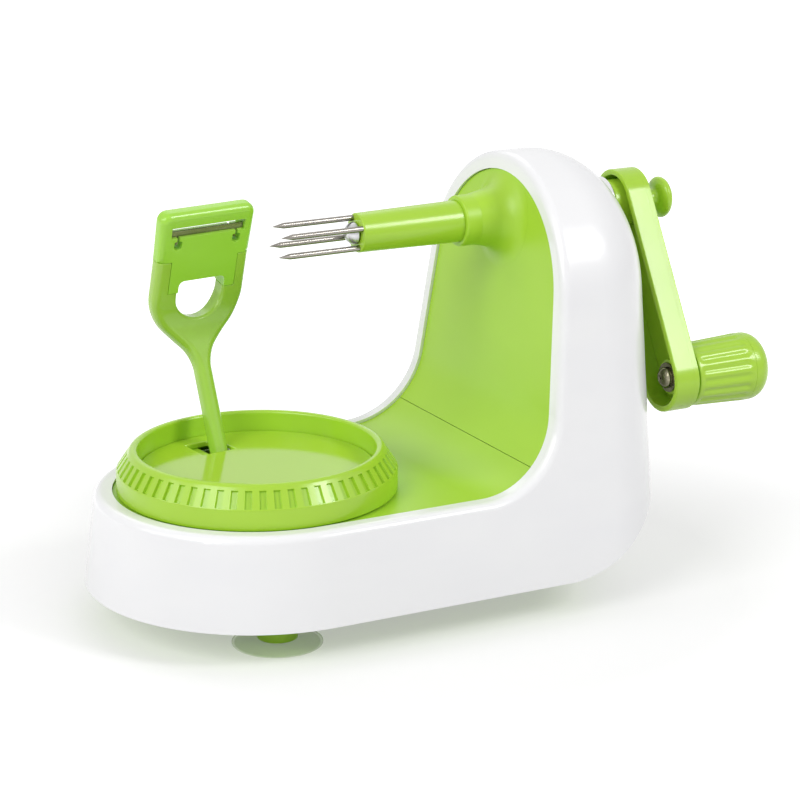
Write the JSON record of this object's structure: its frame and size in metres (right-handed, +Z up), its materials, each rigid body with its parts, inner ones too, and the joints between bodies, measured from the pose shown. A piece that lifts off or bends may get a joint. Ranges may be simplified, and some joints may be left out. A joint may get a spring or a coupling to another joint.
{
  "type": "apple peeler",
  "caption": "Hand-cranked apple peeler: white body with green panels, a fork spindle with an ejector, and a geared turntable that carries a sprung peeling arm round the fruit.",
  "frame": {"origin": "middle of the whole peeler's footprint, on the surface that its suction cups stand on", "axes": "+X along the spindle from the fork to the crank, +Z up, +Y to the side away from the picture's view"},
  "size_m": [0.2332, 0.1154, 0.1462],
  "materials": {
    "white_shell": "gloss moulded white plastic",
    "green_plastic": "gloss moulded lime green plastic",
    "clear_green_rubber": "soft translucent green",
    "steel": "polished steel",
    "nylon": "off-white moulded nylon"
  },
  "bodies": {
    "housing": {"body_shell": "white_shell", "base_cover": "green_plastic", "deck_panel": "green_plastic", "tower_panel": "green_plastic", "suction_cups": "clear_green_rubber", "base_screws": "steel", "front_bush": "nylon", "rear_bush": "nylon", "shaft_bracket": "nylon", "bracket_screws": "steel", "turntable_axle": "steel", "compound_pin": "steel", "idler_pin": "steel"},
    "spindle_set": {"spindle": "steel", "fork_sleeve": "green_plastic", "fork_tines": "steel", "spindle_pinion": "nylon", "crank_arm": "green_plastic", "grip_axle": "nylon", "grip_washer": "steel", "grip_screw": "steel", "ejector_spring": "steel"},
    "ejector": {"ejector_rod": "steel", "ejector_tip": "steel", "ejector_knob": "green_plastic"},
    "grip_set": {"grip": "green_plastic", "grip_cap": "green_plastic"},
    "shaft_set": {"drive_shaft": "steel", "crown_gear": "nylon", "shaft_pinion": "nylon"},
    "idler": {"idler_gear": "nylon"},
    "compound": {"compound_gear": "nylon"},
    "turntable": {"turntable_dish": "green_plastic", "turntable_cover": "green_plastic", "turntable_gear": "nylon", "turntable_screws": "steel", "arm_pin": "steel", "arm_spring": "steel"},
    "arm": {"peeler_arm": "green_plastic", "blade_head": "green_plastic", "blade": "steel"}
  },
  "joints": [
    {"name": "crank_turn", "type": "hinge", "parent": "housing", "child": "spindle_set", "pos_m": [0.07718, 0, 0.1247], "axis": [1, 0, 0], "range_deg": [-864, 4872]},
    {"name": "grip_spin", "type": "hinge", "parent": "spindle_set", "child": "grip_set", "pos_m": [0.08718, -0.03199, 0.06973], "axis": [1, 0, 0], "continuous": true},
    {"name": "ejector_push", "type": "slide", "parent": "spindle_set", "child": "ejector", "axis": [-1, 0, 0], "range_m": [0, 0.007], "stiffness_N_per_m": 180, "springref_m": -0.003, "deforming": ["ejector_spring"]},
    {"name": "drive_shaft_turn", "type": "hinge", "parent": "housing", "child": "shaft_set", "pos_m": [0.05308, 0, 0.06], "axis": [0, 0, 1], "range_deg": [-2436.5, 432.5]},
    {"name": "idler_turn", "type": "hinge", "parent": "housing", "child": "idler", "pos_m": [0.02795, 0.0076, 0.026], "axis": [0, 0, 1], "range_deg": [-216.5, 1218.5]},
    {"name": "compound_turn", "type": "hinge", "parent": "housing", "child": "compound", "pos_m": [-0.01513, 0, 0.026], "axis": [0, 0, 1], "range_deg": [-812.5, 144.5]},
    {"name": "turntable_turn", "type": "hinge", "parent": "housing", "child": "turntable", "pos_m": [-0.05888, 0, 0.046], "axis": [0, 0, 1], "range_deg": [-36.5, 203.5]},
    {"name": "arm_swing", "type": "hinge", "parent": "turntable", "child": "arm", "pos_m": [-0.0616, 0.02385, 0.0465], "axis": [-0.9936, -0.1132, 0], "range_deg": [0, 24], "stiffness_Nm_per_rad": 0.12, "springref_deg": -20.05, "deforming": ["arm_spring"]}
  ],
  "couplings": [
    {"joint": "drive_shaft_turn", "follows": "crank_turn", "ratio": -0.5},
    {"joint": "idler_turn", "follows": "crank_turn", "ratio": 0.25},
    {"joint": "compound_turn", "follows": "crank_turn", "ratio": -0.16667},
    {"joint": "turntable_turn", "follows": "crank_turn", "ratio": 0.041667}
  ]
}
